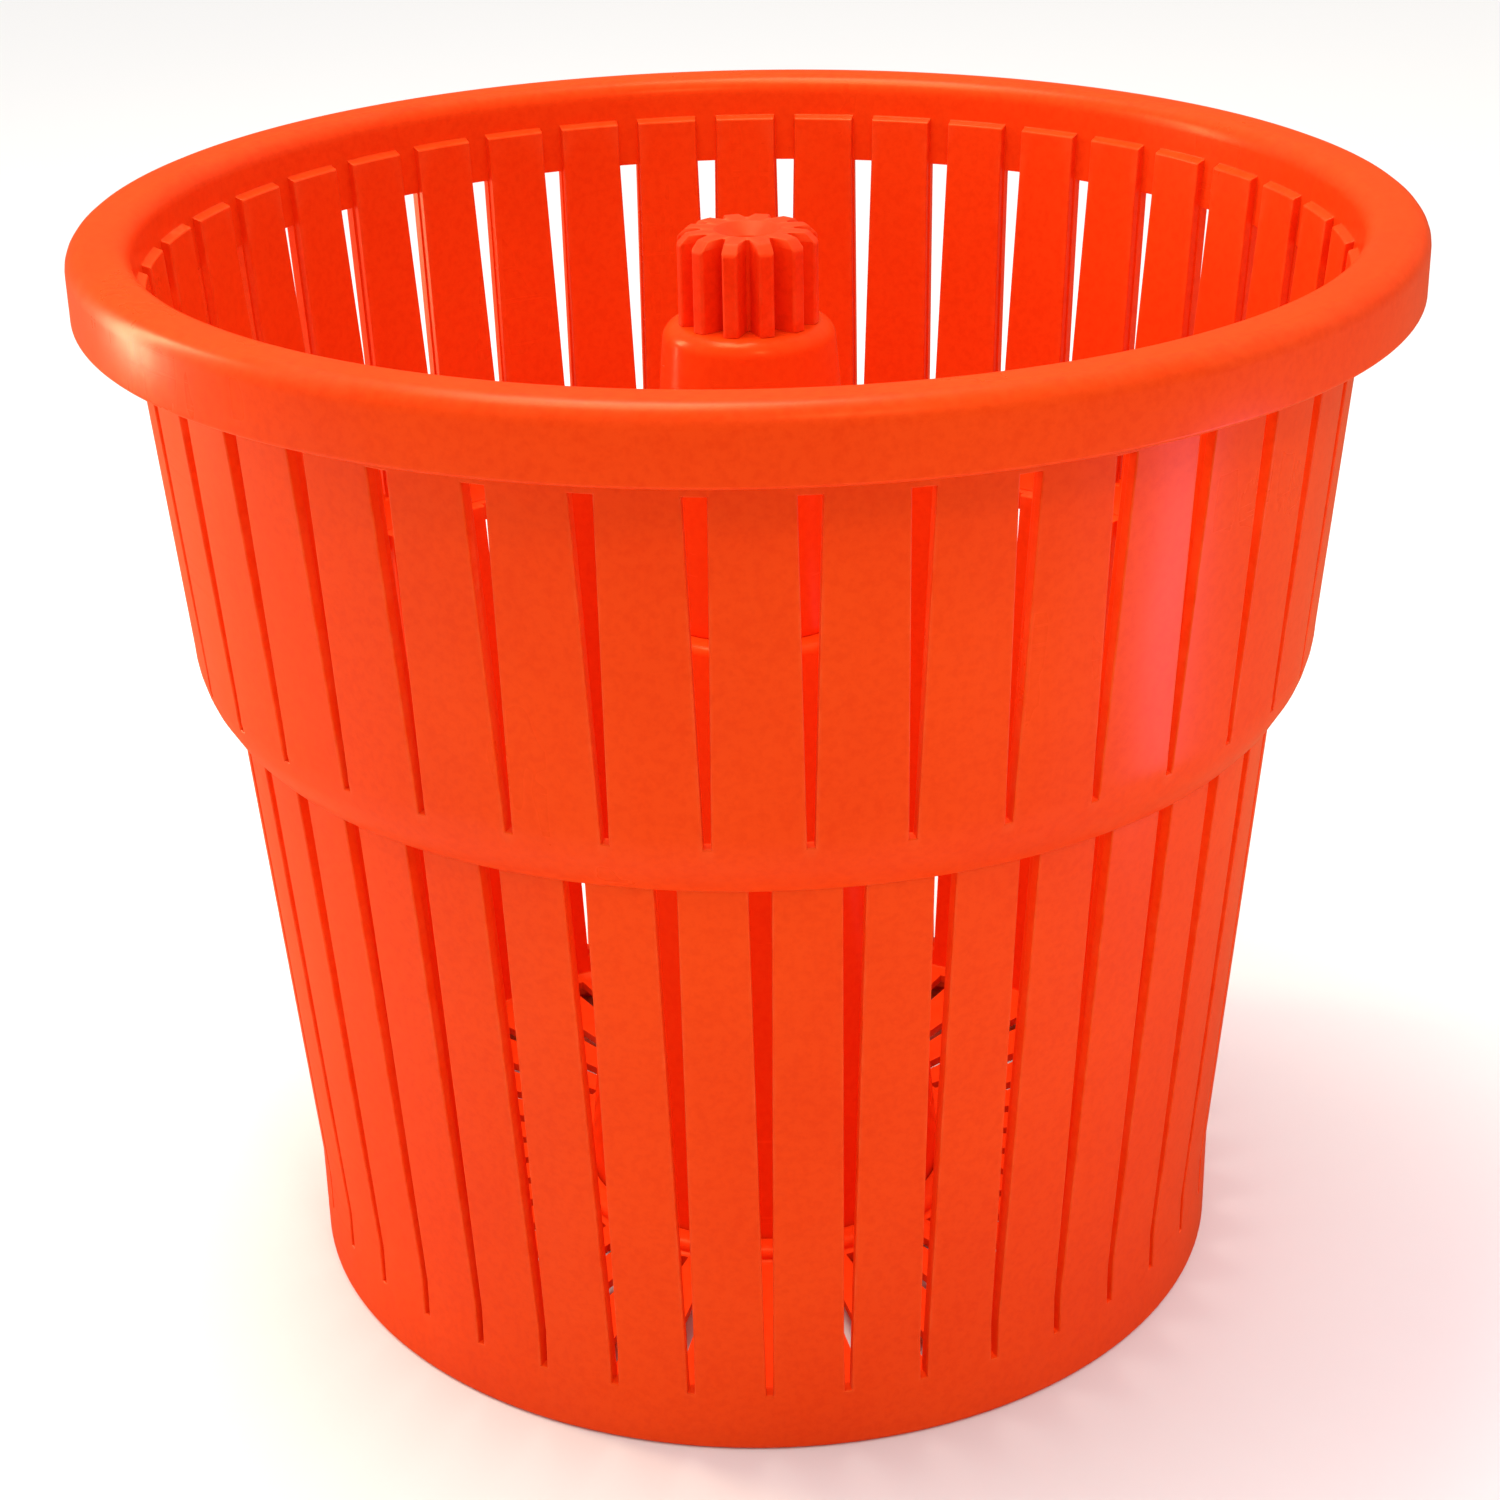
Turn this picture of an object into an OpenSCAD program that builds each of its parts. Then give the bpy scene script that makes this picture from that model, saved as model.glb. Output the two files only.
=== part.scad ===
// Spinning basket of a large hand-cranked salad spinner.
// The frame is +Z up, and the origin is on the spin axis at the level of the foot.
// The basket hangs on a ball bearing near the top of its hollow hub. The spindle
// socket inside that bearing stands still on the spindle of the outer tub.

/* [Basket wall] */
// Outer diameter of the rim
rim_d = 380; // [320:1:460]
// Height from the foot to the top of the rim
basket_h = 326; // [300:1:400]
// Draft of both walls from the vertical, in degrees
wall_draft = 4.6; // [3:0.1:5.5]
// Thickness of the moulded walls
wall_t = 3; // [2:0.5:3.5]
// How far the staves stand proud on the inside of the walls
stave_t = 2.5; // [1.5:0.5:3]
// How far the upper wall stands outside the lower one
step_w = 9; // [8:0.5:12]
// Height of the underside of the shoulder
step_z = 186.5; // [160:0.5:200]
// Radius of the rounded shoulder
shoulder_r = 31; // [28:1:50]

/* [Rim] */
// Overhang of the rim outside the upper wall
rim_w = 14.5; // [12:0.5:20]
// Height of the rim, from its lower edge to its top
rim_h = 20; // [16:1:28]
// Radius of the rim's top edges
rim_round = 6; // [4:0.5:7]

/* [Slots] */
// Number of slots around each wall and the floor
slot_count = 40; // [24:2:44]
// Width of a wall slot at its upper end
slot_top_w = 6; // [4:0.5:8]
// Width of a wall slot at its lower end
slot_low_w = 2; // [1.5:0.5:3]
// How much wider the groove between two staves is than its slot
groove_extra = 1; // [0.5:0.5:2]
// Height of the solid band at the foot, below the lower slots
foot_h = 18.5; // [17:0.5:24]
// Height at which the lower wall begins to lean out; it stands upright below that
foot_top = 32; // [26:0.5:50]

/* [Floor] */
// Height of the upper face of the floor
floor_z = 11.5; // [10:0.5:14]
// Thickness of the floor
floor_t = 3; // [2:0.5:4]
// Width of a floor slot as a share of its distance from the axis
floor_slot_share = 0.045; // [0.03:0.005:0.06]

/* [Hub] */
// Radius of the hub where it passes through the floor
hub_base_r = 57; // [50:1:64]
// Height of the step between the two hub parts
hub_step_z = 203.5; // [180:0.5:220]
// Radius of the lower hub part at the step
hub_step_r = 38; // [36:0.5:44]
// Radius of the hub just below its rounded top
hub_top_r = 24.8; // [24.5:0.1:28]
// Height of the hub's top face
hub_top_z = 291.5; // [280:0.5:300]
// Draft of the upper hub part, in degrees
hub_draft = 4.8; // [4:0.1:6]

/* [Drive pinion] */
// Number of teeth
pinion_teeth = 12; // [10:1:14]
// Diameter over the tooth tips
pinion_d = 41; // [38:0.5:44]
// Height of the toothed part
pinion_h = 26.5; // [22:0.5:32]
// Size across the flats of the hexagonal shank
shank_af = 22; // [20:0.5:23]
// Diameter of the pilot bore that the lid's pin runs in
pilot_d = 8; // [6:0.5:9]

/* [Spindle and bearing] */
// Diameter of the bore that slides over the tub's spindle
spindle_d = 10; // [8:0.5:10.5]
// Depth of that bore
spindle_depth = 90; // [70:1:110]
// Bore of the ball bearing
bearing_bore = 15; // [14.5:0.5:16]
// Outer diameter of the ball bearing
bearing_od = 35; // [34.5:0.5:36]
// Width of the ball bearing
bearing_w = 11; // [10:0.5:12]
// Diameter of one ball
ball_d = 5.95; // [5.5:0.05:6.2]
// Number of balls
ball_count = 8; // [6:1:9]

/* [Hidden] */

$fn = 96;
eps = 0.01;
fit = 0.1;                      // radial clearance of parts that are pushed together
slope = tan(wall_draft);
pitch = 360 / slot_count;

// Walls: outer radius of each wall at a height, and the heights along them
rim_r = rim_d / 2;
function upper_r(z) = rim_r - rim_w - (basket_h - z) * slope;
function lower_r(z) = upper_r(z) - step_w;
shoulder_h = 22.5;              // height of the rounded shoulder
shoulder_z = step_z + shoulder_h;
shoulder_cx = upper_r(shoulder_z) - shoulder_r;
lip_t = 4;                      // lip of the upper wall that carries the lower one
lip_wall = 1.9;                 // wall left around the flange
flange_t = 3;                   // flange of the lower wall, which is the inner ledge
ledge_z = step_z + lip_t + flange_t;
stave_top = basket_h - 12.5;    // top of the staves, where the smooth band begins
stave_bevel = 1;
upper_slot_z = [step_z + 16.5, stave_top - 15];
lower_slot_z = [foot_h + 0.5, step_z + 1];
wall_in = wall_t + stave_t;     // from the outer face of a wall to the face of its staves
foot_r = lower_r(foot_top);
foot_edge = 1.2;                // bevel of the foot's outer edge
band_z = basket_h - rim_round;  // where the smooth band ends and the rim's rounding begins
rim_in_r = upper_r(band_z) - wall_t;
rim_chamfer = 2;                // inside corner of the channel under the rim
cut = 20;                       // how far the slot cutters start inside a wall's face
groove_reach = 6;               // how far a groove cutter reaches past the stave's face
// Radius of the flange that rests on the lip inside the shoulder
flange_r = shoulder_cx - fit
    + sqrt(pow(shoulder_r - lip_wall, 2) - pow(shoulder_h - lip_t, 2));

// Floor
seat_z = floor_z - floor_t;     // where the floor rests
floor_r = lower_r(seat_z) - wall_in - fit;
seat_w = 4;                     // width of the ledge under the floor's edge
seat_t = 3;
collar_w = 7.5;                 // raised collar around the hub
collar_h = 3;
floor_margin = [3, 1.5];        // solid floor inside and outside its slots
floor_bore_r = hub_base_r + 0.6;
floor_slot_r = [hub_base_r + collar_w + floor_margin[0], floor_r - seat_w - floor_margin[1]];
floor_screw_r = hub_base_r + 4.4;
floor_screw_count = 8;

// Hub: outer radius of each part at a height
hub_wall = 3;
base_slope = (hub_base_r - hub_step_r) / (hub_step_z - floor_z);
function base_r(z) = hub_base_r - (z - floor_z) * base_slope;
sleeve_slope = tan(hub_draft);
hub_round = 5.5;                // rounding of the hub's top edge
function sleeve_r(z) = hub_top_r + (hub_top_z - hub_round - z) * sleeve_slope;
hub_top_t = 6;                  // thickness of the wall under the pinion
hub_ceiling_z = hub_top_z - hub_top_t;
step_wall = 6;                  // wall of the lower part under the step
step_round = 3;                 // rounding of the lower part's top edge
sleeve_foot = 10;               // solid ring at the lower end of the sleeve
spigot_r = 24;
spigot_h = 4;
hub_screw_r = 28;
hub_screw_count = 6;
hub_flange_w = 9;

// Screws: M4 with a round head
screw_r = 2;
screw_head_r = 3.6;
screw_head_h = 2.8;
screw_play = 0.2;               // radial clearance of a screw in a through hole

// Bearing and the parts around it
bearing_top_z = hub_ceiling_z - 17.5;
bearing_z = bearing_top_z - bearing_w;
bearing_mid = bearing_z + bearing_w / 2;
pitch_r = (bearing_bore + bearing_od) / 4;
race_gap = 0.03;                // running clearance of the balls in their races
land_w = 2.1;                   // from the ball circle to a ring's land
shield_in = 0.9;                // depth of a shield's recess
shield_t = 0.6;
shield_r = pitch_r + land_w + 0.5;
cage_t = 1.8;                   // radial thickness of the cage
cage_w = 7.8;
pocket_d = ball_d + 0.1;
clip_t = 1.3;
clip_w = 3.5;                   // radial width of the two large snap rings
clip_gap = 24;                  // opening of a snap ring, in degrees
clip_seat = 1;                  // depth of a snap ring in its groove
seal_t = 4;
seal_z = bearing_z - clip_t - 1.2 - seal_t;
seal_gap = 0.08;                // running clearance of the seal on the socket
seal_lip = 2.5;                 // radial width of the seal's inner lip and of its groove
housing_z = seal_z - 0.5;
housing_stop = 1.5;             // shoulder that the bearing's outer ring stops against
function housing_r(z) = sleeve_r(z) - hub_wall - fit;

// Spindle socket
socket_r = bearing_bore / 2 + 2.5;
socket_top = bearing_top_z + 3.2;
socket_seat = 0.7;              // depth of the socket's snap ring in its groove
socket_clip_w = 2.9;
socket_mouth = 1;               // chamfer at the mouth of the bore
pad_t = 2.5;                    // thrust pad at the end of the bore, in a pocket of its own
pad_d = 7;
spindle_top = bearing_top_z - 8;
socket_z = spindle_top - pad_t - spindle_depth;

// Pinion
tooth_tip_w = 4.4;
tooth_root_w = 5.8;
tooth_depth = 7.5;
pinion_r = pinion_d / 2;
pinion_top = hub_top_z + pinion_h;
crown_h = 3;                    // height and width of the bevel over the teeth
crown_w = 3;
shank_z = hub_ceiling_z - 10;
pinion_clip_w = 5;
pinion_hole_r = pilot_d / 2 + 0.75;
dish_h = 3.5;                   // dished mouth of the pinion's hole
dish_r = pilot_d / 2 + 5.5;
bush_r = pilot_d / 2 + 3;
bush_z = [hub_top_z - 1, hub_top_z + 13];

// A cutter through the wall at one angle, as wide as w[0] at z[0] and w[1] at z[1]
module radial_slot(r, z, w) {
    translate([r[0], 0, 0])
        rotate([90, 0, 90])
            linear_extrude(r[1] - r[0])
                polygon([[-w[0] / 2, z[0]], [w[0] / 2, z[0]],
                         [w[1] / 2, z[1]], [-w[1] / 2, z[1]]]);
}

// A cutter for the groove between two staves. Its outer face lies along a wall
// that is drawn out with the draft from radius r at the level of the foot.
module groove(r, z) {
    w = [slot_low_w + groove_extra, slot_top_w + groove_extra];
    h = [z[0] / cos(wall_draft), z[1] / cos(wall_draft)];
    translate([r, 0, 0])
        rotate([0, wall_draft, 0])
            radial_slot([-stave_t - groove_reach, 0], h, w);
}

// One cutter at each pitch, turned by a share of the pitch
module around(count, turn) {
    for (i = [0 : count - 1])
        rotate([0, 0, (i + turn) * 360 / count])
            children();
}

// A ring of rectangular section
module ring(r_in, r_out, z, h) {
    translate([0, 0, z])
        difference() {
            cylinder(r = r_out, h = h);
            translate([0, 0, -1])
                cylinder(r = r_in, h = h + 2);
        }
}

// A snap ring, open at one place, with an eye at each end
module snap_ring(r_in, r_out, z) {
    difference() {
        ring(r_in, r_out, z, clip_t);
        translate([0, 0, z - 1])
            linear_extrude(clip_t + 2)
                polygon([[0, 0],
                         [2 * r_out * cos(clip_gap / 2), 2 * r_out * sin(clip_gap / 2)],
                         [2 * r_out * cos(clip_gap / 2), -2 * r_out * sin(clip_gap / 2)]]);
    }
}

// A screw from below: its head under z, its shank above it
module screw(r, z, length) {
    translate([r, 0, z - screw_head_h])
        cylinder(r = screw_head_r, h = screw_head_h, $fn = 32);
    translate([r, 0, z - eps])
        cylinder(r = screw_r, h = length + eps, $fn = 32);
}

// Half section between the axis and the upper wall's face, set in by an amount
module upper_section(inset, z_low) {
    polygon([[0, shoulder_z], [upper_r(shoulder_z) - inset, shoulder_z],
             [upper_r(band_z) - inset, band_z], [0, band_z]]);
    intersection() {
        translate([shoulder_cx, shoulder_z])
            circle(r = shoulder_r - inset);
        translate([0, z_low])
            square([rim_r, shoulder_z - z_low + eps]);
    }
    translate([0, z_low])
        square([shoulder_cx, shoulder_z - z_low + eps]);
}

// Half section of the rim: rounded on top, with an open channel underneath
module rim_section() {
    low_z = basket_h - rim_h;
    difference() {
        union() {
            translate([rim_in_r, low_z])
                square([rim_r - rim_in_r, rim_h - rim_round]);
            translate([rim_in_r + rim_round, band_z - eps])
                square([rim_r - rim_in_r - 2 * rim_round, rim_round + eps]);
            translate([rim_in_r + rim_round, band_z])
                circle(r = rim_round);
            translate([rim_r - rim_round, band_z])
                circle(r = rim_round);
        }
        polygon([[upper_r(low_z - 1), low_z - 1],
                 [rim_r - wall_t, low_z - 1],
                 [rim_r - wall_t, basket_h - wall_t - rim_chamfer],
                 [rim_r - wall_t - rim_chamfer, basket_h - wall_t],
                 [upper_r(basket_h - wall_t), basket_h - wall_t]]);
    }
}

// Half section of the upper basket, with its staves as one layer
module upper_profile() {
    difference() {
        union() {
            upper_section(0, step_z);
            rim_section();
        }
        intersection() {
            union() {
                upper_section(wall_in, ledge_z);
                polygon([[0, stave_top - stave_bevel],
                         [upper_r(stave_top - stave_bevel) - wall_in, stave_top - stave_bevel],
                         [upper_r(stave_top) - wall_t, stave_top],
                         [upper_r(band_z) - wall_t, band_z],
                         [0, band_z]]);
            }
            square([rim_r, band_z]);
        }
        square([lower_r(step_z + lip_t) + fit, ledge_z]);
        translate([0, step_z + lip_t])
            square([flange_r + fit, flange_t]);
    }
}

module upper_basket() {
    color("orangered")
        difference() {
            rotate_extrude()
                upper_profile();
            around(slot_count, 0.5)
                radial_slot([upper_r(step_z) - cut, rim_r - wall_t - 1], upper_slot_z,
                            [slot_low_w, slot_top_w]);
            around(slot_count, 0.5)
                groove(upper_r(0) - wall_t, [upper_slot_z[0] - 1, stave_top + 0.5]);
        }
}

module lower_basket() {
    color("orangered")
        rotate([0, 0, pitch / 2])
            difference() {
                rotate_extrude()
                    lower_profile();
                around(slot_count, 0.5)
                    radial_slot([foot_r - cut, rim_r], lower_slot_z,
                                [slot_low_w, slot_top_w]);
                around(slot_count, 0.5)
                    groove(lower_r(0) - wall_t, [foot_h - 1, ledge_z + 1]);
            }
}

// Half section of the lower basket: foot band, wall, flange, staves and floor ledge
module lower_profile() {
    foot_in = foot_r - wall_in;
    ledge_low = ledge_z - flange_t;
    polygon([[foot_in, 0],
             [foot_r - foot_edge, 0],
             [foot_r, foot_edge],
             [foot_r, foot_top],
             [lower_r(ledge_low), ledge_low],
             [flange_r, ledge_low],
             [flange_r, ledge_z],
             [lower_r(ledge_z) - wall_in, ledge_z],
             [lower_r(floor_z) - wall_in, floor_z],
             [floor_r + fit, floor_z],
             [floor_r + fit, seat_z],
             [floor_r - seat_w, seat_z],
             [floor_r - seat_w, seat_z - seat_t],
             [foot_in, seat_z - seat_t]]);
}

module floor_grid() {
    color("orangered")
        difference() {
            rotate_extrude()
                union() {
                    translate([floor_bore_r, seat_z])
                        square([floor_r - floor_bore_r, floor_t]);
                    translate([floor_bore_r, floor_z - eps])
                        square([collar_w - collar_h, collar_h + eps]);
                    intersection() {
                        translate([floor_bore_r + collar_w - collar_h, floor_z])
                            circle(r = collar_h);
                        translate([floor_bore_r, floor_z - eps])
                            square([collar_w, collar_h + 1]);
                    }
                }
            around(slot_count, 0.5)
                floor_slot();
            around(floor_screw_count, 0.5)
                translate([floor_screw_r, 0, seat_z - 1])
                    cylinder(r = screw_r, h = floor_t + collar_h - 0.5, $fn = 32);
        }
}

// One floor slot, wider outwards
module floor_slot() {
    translate([0, 0, seat_z - 1])
        linear_extrude(floor_t + 2)
            polygon([for (end = [0, 1], side = [-1, 1])
                [floor_slot_r[end],
                 (end == 0 ? side : -side) * floor_slot_r[end] * floor_slot_share / 2]]);
}

module floor_screws() {
    color("silver")
        around(floor_screw_count, 0.5)
            screw(floor_screw_r, seat_z - seat_t, seat_t + floor_t + 1);
}

module hub_base() {
    color("orangered")
        difference() {
            rotate_extrude()
                difference() {
                    union() {
                        polygon([[0, seat_z - seat_t],
                                 [hub_base_r, seat_z - seat_t],
                                 [base_r(seat_z), seat_z],
                                 [base_r(hub_step_z - step_round), hub_step_z - step_round],
                                 [0, hub_step_z - step_round]]);
                        translate([0, hub_step_z - step_round - eps])
                            square([base_r(hub_step_z - step_round) - step_round, step_round + eps]);
                        translate([base_r(hub_step_z - step_round) - step_round,
                                   hub_step_z - step_round])
                            circle(r = step_round);
                        translate([0, seat_z - seat_t])
                            square([hub_base_r + hub_flange_w, seat_t]);
                    }
                    polygon([[-1, -1],
                             [base_r(0) - hub_wall, -1],
                             [base_r(hub_step_z - step_wall) - hub_wall,
                              hub_step_z - step_wall],
                             [-1, hub_step_z - step_wall]]);
                    translate([-1, 0])
                        square([spigot_r + 1, basket_h]);
                }
            around(floor_screw_count, 0.5)
                translate([floor_screw_r, 0, seat_z - seat_t - 1])
                    cylinder(r = screw_r + screw_play, h = seat_t + 2, $fn = 32);
            around(hub_screw_count, 0)
                translate([hub_screw_r, 0, hub_step_z - step_wall - 1])
                    cylinder(r = screw_r + screw_play, h = step_wall + 2, $fn = 32);
        }
}

module hub_sleeve() {
    groove_z = housing_z - clip_t;
    color("orangered")
        difference() {
            rotate_extrude()
                difference() {
                    union() {
                        polygon([[0, hub_step_z], [sleeve_r(hub_step_z), hub_step_z],
                                 [hub_top_r, hub_top_z - hub_round],
                                 [0, hub_top_z - hub_round]]);
                        translate([0, hub_top_z - hub_round - eps])
                            square([hub_top_r - hub_round, hub_round + eps]);
                        translate([hub_top_r - hub_round, hub_top_z - hub_round])
                            circle(r = hub_round);
                        translate([0, hub_step_z - spigot_h])
                            square([spigot_r - fit, spigot_h + eps]);
                    }
                    polygon([[-1, hub_step_z + sleeve_foot],
                             [sleeve_r(hub_step_z + sleeve_foot) - hub_wall,
                              hub_step_z + sleeve_foot],
                             [sleeve_r(hub_ceiling_z) - hub_wall, hub_ceiling_z],
                             [-1, hub_ceiling_z]]);
                    translate([-1, 0])
                        square([spigot_r - hub_wall + 1, hub_ceiling_z]);
                    translate([-1, groove_z])
                        square([housing_r(groove_z) + clip_seat + 1, clip_t]);
                }
            translate([0, 0, hub_ceiling_z - 1])
                cylinder(d = (shank_af + 2 * fit) / cos(30), h = hub_top_t + 2, $fn = 6);
            around(hub_screw_count, 0)
                translate([hub_screw_r, 0, hub_step_z - 1])
                    cylinder(r = screw_r, h = sleeve_foot, $fn = 32);
        }
}

module hub_screws() {
    color("silver")
        around(hub_screw_count, 0)
            screw(hub_screw_r, hub_step_z - step_wall, step_wall + sleeve_foot - 2);
}

// Outline of the toothed part: the core and straight-sided teeth
module tooth_outline() {
    circle(r = pinion_r - tooth_depth);
    intersection() {
        circle(r = pinion_r);
        for (i = [0 : pinion_teeth - 1])
            rotate((i + 0.5) * 360 / pinion_teeth - 90)
                polygon([[0, -tooth_root_w / 2],
                         [pinion_r - tooth_depth - 1, -tooth_root_w / 2],
                         [pinion_r + 1, -tooth_tip_w / 2],
                         [pinion_r + 1, tooth_tip_w / 2],
                         [pinion_r - tooth_depth - 1, tooth_root_w / 2],
                         [0, tooth_root_w / 2]]);
    }
}

module drive_pinion() {
    groove_z = hub_ceiling_z - clip_t;
    color("orangered")
        difference() {
            union() {
                intersection() {
                    translate([0, 0, hub_top_z])
                        linear_extrude(pinion_h)
                            tooth_outline();
                    rotate_extrude()
                        polygon([[0, hub_top_z - 1], [pinion_r + 1, hub_top_z - 1],
                                 [pinion_r + 1, pinion_top - crown_h],
                                 [pinion_r, pinion_top - crown_h],
                                 [pinion_r - crown_w, pinion_top], [0, pinion_top]]);
                }
                translate([0, 0, shank_z])
                    cylinder(d = shank_af / cos(30), h = hub_top_z - shank_z + eps, $fn = 6);
            }
            rotate_extrude()
                polygon([[0, shank_z - 1], [bush_r, shank_z - 1],
                         [bush_r, bush_z[1]], [pinion_hole_r, bush_z[1]],
                         [pinion_hole_r, pinion_top - dish_h],
                         [dish_r, pinion_top], [dish_r, pinion_top + 1],
                         [0, pinion_top + 1]]);
            ring(shank_af / 2 - clip_seat, shank_af, groove_z, clip_t);
        }
}

module pinion_clip() {
    color("silver")
        snap_ring(shank_af / 2 - clip_seat, shank_af / 2 - clip_seat + pinion_clip_w,
                  hub_ceiling_z - clip_t);
}

module pilot_bush() {
    color("ivory")
        ring(pilot_d / 2, bush_r, bush_z[0], bush_z[1] - bush_z[0]);
}

module bearing_housing() {
    seat_r = bearing_od / 2;
    color("gainsboro")
        rotate_extrude()
            difference() {
                polygon([[0, housing_z], [housing_r(housing_z), housing_z],
                         [housing_r(hub_ceiling_z), hub_ceiling_z], [0, hub_ceiling_z]]);
                translate([-1, housing_z - 1])
                    square([seat_r + 1, bearing_top_z - housing_z + 1]);
                translate([-1, bearing_top_z - eps])
                    square([seat_r - housing_stop + 1, hub_ceiling_z - bearing_top_z + 1]);
                translate([-1, bearing_z - clip_t])
                    square([seat_r + clip_seat + 1, clip_t]);
            }
}

module housing_clip() {
    groove_z = housing_z - clip_t;
    groove_r = housing_r(groove_z) + clip_seat;
    color("silver")
        snap_ring(groove_r - clip_w, groove_r, groove_z);
}

module bearing_clip() {
    groove_r = bearing_od / 2 + clip_seat;
    color("silver")
        snap_ring(groove_r - clip_w, groove_r, bearing_z - clip_t);
}

module splash_seal() {
    color("dimgray")
        rotate_extrude()
            difference() {
                translate([socket_r + seal_gap, seal_z])
                    square([bearing_od / 2 - socket_r - seal_gap, seal_t]);
                translate([socket_r + seal_lip, seal_z - 1])
                    square([seal_lip, seal_t / 2 + 1]);
            }
}

// A bearing ring between two radii, with the race that its balls run in
module race_ring(r_in, r_out) {
    rotate_extrude()
        difference() {
            translate([r_in, bearing_z])
                square([r_out - r_in, bearing_w]);
            translate([pitch_r, bearing_mid])
                circle(r = ball_d / 2 + race_gap);
        }
}

module bearing_outer_ring() {
    color("silver")
        difference() {
            race_ring(pitch_r + land_w, bearing_od / 2);
            for (z = [bearing_z - 1, bearing_top_z - shield_in])
                translate([0, 0, z])
                    cylinder(r = shield_r, h = shield_in + 1);
        }
}

module bearing_inner_ring() {
    color("silver")
        race_ring(bearing_bore / 2, pitch_r - land_w);
}

module shield(z) {
    ring(pitch_r - land_w + 0.5, shield_r, z, shield_t);
}

module upper_shield() {
    color("dimgray")
        shield(bearing_top_z - shield_in);
}

module lower_shield() {
    color("dimgray")
        shield(bearing_z + shield_in - shield_t);
}

module bearing_balls() {
    color("silver")
        around(ball_count, 0)
            translate([pitch_r, 0, bearing_mid])
                sphere(d = ball_d);
}

module bearing_cage() {
    color("goldenrod")
        difference() {
            ring(pitch_r - cage_t / 2, pitch_r + cage_t / 2, bearing_mid - cage_w / 2, cage_w);
            around(ball_count, 0)
                translate([pitch_r, 0, bearing_mid])
                    sphere(d = pocket_d);
        }
}

module spindle_socket() {
    color("gainsboro")
        rotate_extrude()
            difference() {
                union() {
                    translate([0, socket_z])
                        square([socket_r, bearing_z - socket_z]);
                    translate([0, bearing_z - eps])
                        square([bearing_bore / 2, socket_top - bearing_z + eps]);
                }
                translate([-1, socket_z - 1])
                    square([spindle_d / 2 + 1, spindle_depth + 1]);
                translate([-1, socket_z])
                    square([pad_d / 2 + 1, spindle_depth + pad_t]);
                polygon([[-1, socket_z - socket_mouth],
                         [spindle_d / 2 + 2 * socket_mouth, socket_z - socket_mouth],
                         [spindle_d / 2, socket_z + socket_mouth],
                         [-1, socket_z + socket_mouth]]);
                translate([bearing_bore / 2 - socket_seat, bearing_top_z])
                    square([2, clip_t]);
            }
}

module socket_clip() {
    color("silver")
        snap_ring(bearing_bore / 2 - socket_seat,
                  bearing_bore / 2 - socket_seat + socket_clip_w, bearing_top_z);
}

module thrust_pad() {
    color("ivory")
        translate([0, 0, spindle_top - pad_t])
            cylinder(d = pad_d, h = pad_t);
}

upper_basket();
lower_basket();
floor_grid();
floor_screws();
hub_base();
hub_sleeve();
hub_screws();
drive_pinion();
pinion_clip();
pilot_bush();
bearing_housing();
housing_clip();
bearing_clip();
splash_seal();
bearing_outer_ring();
upper_shield();
lower_shield();
bearing_balls();
bearing_cage();
bearing_inner_ring();
socket_clip();
spindle_socket();
thrust_pad();
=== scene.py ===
import math

import bmesh
import bpy
import numpy as np
from bpy.props import FloatProperty, FloatVectorProperty, IntProperty, PointerProperty
from mathutils import Matrix, Vector


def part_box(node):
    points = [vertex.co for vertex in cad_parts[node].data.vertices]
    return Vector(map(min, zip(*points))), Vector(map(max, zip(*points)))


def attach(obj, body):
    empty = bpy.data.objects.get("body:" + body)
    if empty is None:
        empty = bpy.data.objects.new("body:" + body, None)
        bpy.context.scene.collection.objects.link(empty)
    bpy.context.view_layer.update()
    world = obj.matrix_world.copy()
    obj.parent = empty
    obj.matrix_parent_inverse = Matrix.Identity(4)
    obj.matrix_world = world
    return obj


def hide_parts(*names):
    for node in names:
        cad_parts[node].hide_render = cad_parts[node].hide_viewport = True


bl_info = {
    "name": "Salad spinner basket",
    "version": (1, 0, 0),
    "blender": (4, 5, 0),
    "location": "3D View > Sidebar > Spinner basket",
    "description": "Builds the slotted spinning basket, its hub and its drive pinion",
    "category": "Object",
}

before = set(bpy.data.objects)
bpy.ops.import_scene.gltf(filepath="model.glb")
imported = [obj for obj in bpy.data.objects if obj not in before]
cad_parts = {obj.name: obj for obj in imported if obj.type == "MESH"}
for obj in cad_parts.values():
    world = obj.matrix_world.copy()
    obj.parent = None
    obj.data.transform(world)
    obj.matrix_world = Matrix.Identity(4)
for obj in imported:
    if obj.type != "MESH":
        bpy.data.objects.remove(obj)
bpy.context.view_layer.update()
MM = 0.001


def reach(node):
    """Largest distance of a node's points from the spin axis."""
    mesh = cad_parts[node].data
    co = np.empty(len(mesh.vertices) * 3)
    mesh.vertices.foreach_get("co", co)
    return float(np.hypot(co[0::3], co[1::3]).max())


def low(node):
    """Height of a node's lowest point."""
    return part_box(node)[0].z


def top(node):
    """Height of a node's highest point."""
    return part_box(node)[1].z


# ---------------------------------------------------------------- sizes and colours


def length(name, description, default):
    """A length in metres that a user can change."""
    return FloatProperty(name=name, description=description, default=default, min=0.0,
                         unit="LENGTH", precision=5)


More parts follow.
